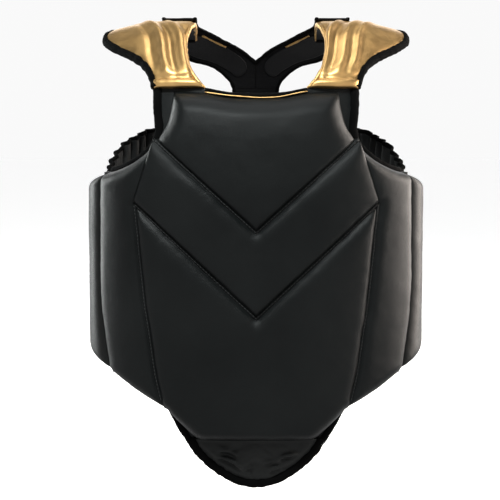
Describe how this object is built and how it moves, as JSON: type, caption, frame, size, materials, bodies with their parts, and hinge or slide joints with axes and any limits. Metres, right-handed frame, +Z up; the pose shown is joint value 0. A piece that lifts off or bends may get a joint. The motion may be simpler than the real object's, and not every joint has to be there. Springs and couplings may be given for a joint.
{
  "type": "chest protector",
  "caption": "Padded chest and body protector with stitched leather pads, gold shoulder yokes, a tail flap, gathered back wings and a Y-shaped back harness.",
  "frame": {"origin": "midway between the tops of the wearer's shoulders, under the crests of the two yokes", "axes": "+Z up, front of the protector towards -Y, +X to the wearer's left"},
  "size_m": [0.4546, 0.3018, 0.6302],
  "materials": {
    "black_leather": "smooth semi-gloss synthetic leather, fine grain",
    "gold_leather": "metallic gold synthetic leather, creased",
    "gold_piping": "metallic gold synthetic leather piping",
    "foam": "closed-cell foam sheet, laminated",
    "lining_fabric": "woven nylon lining, matt",
    "hook_and_loop": "hook-and-loop tape, matt",
    "binding_fabric": "ribbed binding tape, matt",
    "elastic_webbing": "woven elastic",
    "gathered_fabric": "gathered stretch fabric, matt",
    "strap_fabric": "padded strap fabric, matt"
  },
  "bodies": {
    "front_panel": {"chest_cover": "black_leather", "chest_foam": "foam", "chevron_cover": "black_leather", "chevron_foam": "foam", "abdomen_cover": "black_leather", "abdomen_foam": "foam", "left_flank_cover": "black_leather", "left_flank_foam": "foam", "right_flank_cover": "black_leather", "right_flank_foam": "foam", "front_lining": "lining_fabric", "neck_binding": "binding_fabric", "neck_piping": "gold_piping", "left_armhole_binding": "binding_fabric", "right_armhole_binding": "binding_fabric", "left_hem_binding": "binding_fabric", "right_hem_binding": "binding_fabric"},
    "tail_flap": {"tail_cover": "black_leather", "tail_batting": "foam", "tail_lining": "lining_fabric", "tail_binding": "binding_fabric"},
    "left_side": {"left_side_cover": "black_leather", "left_side_foam": "foam", "left_side_lining": "lining_fabric"},
    "left_wing": {"left_wing_panel": "gathered_fabric", "left_upper_elastic": "elastic_webbing", "left_lower_elastic": "elastic_webbing", "back_panel": "strap_fabric", "back_loop_patch": "hook_and_loop", "harness_foot": "strap_fabric"},
    "left_yoke": {"left_yoke_cover": "gold_leather", "left_yoke_foam": "foam", "left_yoke_lining": "lining_fabric", "left_yoke_binding": "binding_fabric", "left_yoke_loop_patch": "hook_and_loop"},
    "left_hook_tab": {"left_hook_tab": "hook_and_loop"},
    "right_side": {"right_side_cover": "black_leather", "right_side_foam": "foam", "right_side_lining": "lining_fabric"},
    "right_wing": {"right_wing_panel": "gathered_fabric", "right_upper_elastic": "elastic_webbing", "right_lower_elastic": "elastic_webbing"},
    "right_yoke": {"right_yoke_cover": "gold_leather", "right_yoke_foam": "foam", "right_yoke_lining": "lining_fabric", "right_yoke_binding": "binding_fabric", "right_yoke_loop_patch": "hook_and_loop"},
    "right_hook_tab": {"right_hook_tab": "hook_and_loop"},
    "closure_tab": {"closure_tab": "strap_fabric", "closure_hook_strip": "hook_and_loop"},
    "back_harness": {"left_harness_arm": "strap_fabric", "right_harness_arm": "strap_fabric", "harness_band": "strap_fabric", "harness_join_patch": "black_leather"}
  },
  "joints": [
    {"name": "tail_flap_fold", "type": "hinge", "parent": "front_panel", "child": "tail_flap", "pos_m": [0, -0.1277, -0.5405], "axis": [-1, 0, 0], "range_deg": [-15, 55], "stiffness_Nm_per_rad": 0.15},
    {"name": "left_side_fold", "type": "hinge", "parent": "front_panel", "child": "left_side", "pos_m": [-0.186, -0.0627, -0.31], "axis": [0, 0, 1], "range_deg": [0, 22], "stiffness_Nm_per_rad": 0.4},
    {"name": "left_wing_swing", "type": "hinge", "parent": "left_side", "child": "left_wing", "pos_m": [-0.2042, -0.0101, -0.3], "axis": [0, 0, 1], "range_deg": [0, 100]},
    {"name": "left_yoke_fold", "type": "hinge", "parent": "front_panel", "child": "left_yoke", "pos_m": [-0.1, -0.0835, -0.0785], "axis": [1, 0, 0], "range_deg": [-25, 0], "stiffness_Nm_per_rad": 0.8, "springref_deg": 9.17},
    {"name": "left_hook_tab_peel", "type": "hinge", "parent": "back_harness", "child": "left_hook_tab", "pos_m": [-0.105, 0.0627, 0.0026], "axis": [-1, 0, 0], "range_deg": [0, 75]},
    {"name": "right_side_fold", "type": "hinge", "parent": "front_panel", "child": "right_side", "pos_m": [0.186, -0.0627, -0.31], "axis": [0, 0, -1], "range_deg": [0, 22], "stiffness_Nm_per_rad": 0.4},
    {"name": "right_wing_swing", "type": "hinge", "parent": "right_side", "child": "right_wing", "pos_m": [0.2042, -0.0101, -0.3], "axis": [0, 0, -1], "range_deg": [0, 100]},
    {"name": "right_yoke_fold", "type": "hinge", "parent": "front_panel", "child": "right_yoke", "pos_m": [0.1, -0.0835, -0.0785], "axis": [1, 0, 0], "range_deg": [-25, 0], "stiffness_Nm_per_rad": 0.8, "springref_deg": 9.17},
    {"name": "right_hook_tab_peel", "type": "hinge", "parent": "back_harness", "child": "right_hook_tab", "pos_m": [0.105, 0.0627, 0.0026], "axis": [-1, 0, 0], "range_deg": [0, 75]},
    {"name": "harness_fold", "type": "hinge", "parent": "left_wing", "child": "back_harness", "pos_m": [0, 0.1416, -0.1563], "axis": [-1, 0, 0], "range_deg": [0, 110]},
    {"name": "closure_tab_peel", "type": "hinge", "parent": "right_wing", "child": "closure_tab", "pos_m": [0.0917, 0.1231, -0.25], "axis": [0, 0, -1], "range_deg": [0, 75]}
  ]
}
